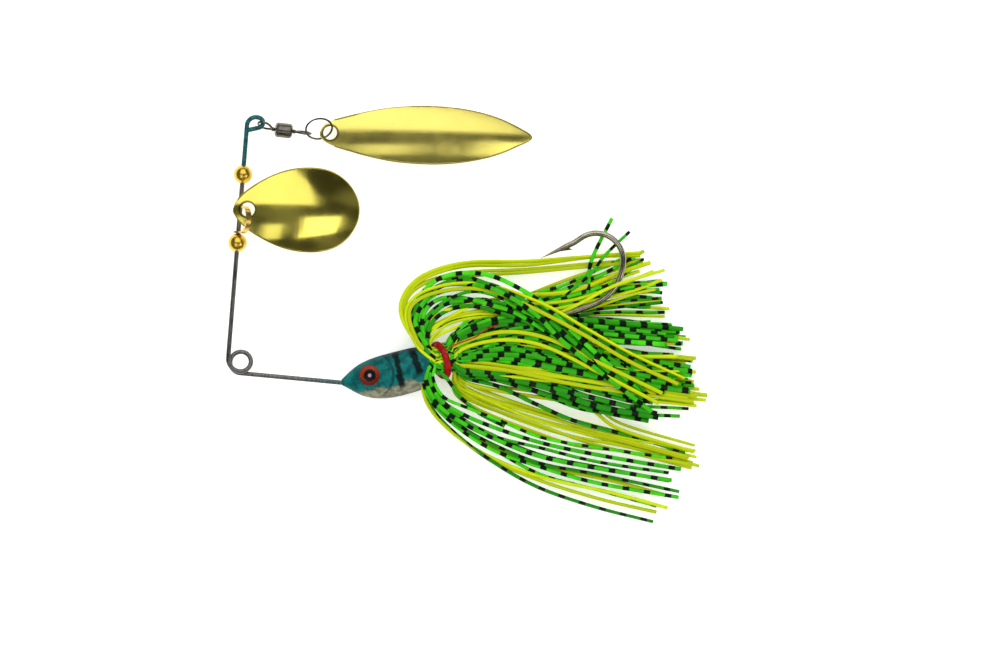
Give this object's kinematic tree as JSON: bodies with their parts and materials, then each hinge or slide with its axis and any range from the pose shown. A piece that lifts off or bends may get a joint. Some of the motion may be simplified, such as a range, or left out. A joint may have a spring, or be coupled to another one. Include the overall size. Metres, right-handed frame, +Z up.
{
  "type": "spinnerbait",
  "caption": "Tandem-blade spinnerbait with a bent wire frame, painted minnow head, single hook, silicone skirt, swivelling willow blade and a round front blade on a clevis.",
  "frame": {"origin": "the middle of the object's box, on the surface that the lure lies on", "axes": "+X from the line tie to the skirt's ends, +Y from the hook's shank to the blades, +Z up from the surface; the lure lies on its side, with its wire plane level"},
  "size_m": [0.1049, 0.0886, 0.0095],
  "materials": {
    "wire": "drawn stainless wire, teal paint on the end loop and near the head",
    "hook": "bronzed steel, polished",
    "fish_eye": "orange-red ring, black pupil, clear dome",
    "head_paint": "metallic teal over a silver-white belly, black bars",
    "gold_bead": "gold plated, polished",
    "clevis_brass": "polished brass strip",
    "gold_blade": "gold plated, mirror polished",
    "gold_willow": "gold plated, finely grained",
    "swivel_steel": "black nickel",
    "ring_steel": "nickel",
    "red_band": "red silicone band and thread",
    "skirt_green": "translucent green silicone with black bars",
    "skirt_yellow": "chartreuse silicone"
  },
  "bodies": {
    "lure": {"wire_form": "wire", "hook": "hook", "eye_near": "fish_eye", "eye_far": "fish_eye", "head_casting": "head_paint", "lower_bead": "gold_bead", "skirt_waist": "skirt_green", "skirt_band": "red_band", "skirt_front_arch": "skirt_yellow", "skirt_upper_low": "skirt_yellow", "skirt_middle_low": "skirt_yellow", "skirt_lower_low": "skirt_green", "skirt_upper_high": "skirt_green", "skirt_middle_high": "skirt_green", "skirt_lower_high": "skirt_green"},
    "clevis": {"clevis": "clevis_brass"},
    "front_blade": {"front_blade": "gold_blade"},
    "upper_bead": {"upper_bead": "gold_bead"},
    "swivel_front_eye": {"swivel_front_eye": "swivel_steel"},
    "swivel_barrel": {"swivel_barrel": "swivel_steel"},
    "swivel_rear_eye": {"swivel_rear_eye": "swivel_steel"},
    "split_ring": {"split_ring": "ring_steel"},
    "willow_blade": {"willow_blade": "gold_willow"}
  },
  "joints": [
    {"name": "clevis_spin", "type": "hinge", "parent": "lure", "child": "clevis", "pos_m": [-0.04954, 0.01981, 0.00495], "axis": [-0.0804, -0.9968, 0], "continuous": true},
    {"name": "front_blade_swing", "type": "hinge", "parent": "clevis", "child": "front_blade", "pos_m": [-0.04772, 0.02189, 0.00806], "axis": [-0.3296, 0.6205, -0.7116], "range_deg": [-30, 2]},
    {"name": "upper_bead_slide", "type": "slide", "parent": "lure", "child": "upper_bead", "axis": [0.0804, 0.9968, 0], "range_m": [-0.0045, 0.0065]},
    {"name": "swivel_swing", "type": "hinge", "parent": "lure", "child": "swivel_front_eye", "pos_m": [-0.04541, 0.04061, 0.00495], "axis": [0, 0, 1], "range_deg": [-15, 30]},
    {"name": "barrel_spin", "type": "hinge", "parent": "swivel_front_eye", "child": "swivel_barrel", "pos_m": [-0.04188, 0.03917, 0.00415], "axis": [0.9794, -0.1029, -0.1736], "continuous": true},
    {"name": "rear_eye_spin", "type": "hinge", "parent": "swivel_barrel", "child": "swivel_rear_eye", "pos_m": [-0.04188, 0.03917, 0.00415], "axis": [0.9794, -0.1029, -0.1736], "continuous": true},
    {"name": "ring_swing", "type": "hinge", "parent": "swivel_rear_eye", "child": "split_ring", "pos_m": [-0.03429, 0.03837, 0.00281], "axis": [0.1727, -0.0182, 0.9848], "range_deg": [-30, 40]},
    {"name": "willow_swing", "type": "hinge", "parent": "split_ring", "child": "willow_blade", "pos_m": [-0.03011, 0.03853, 0.00192], "axis": [0.5188, 0.6835, 0.5135], "range_deg": [-10, 30]}
  ]
}
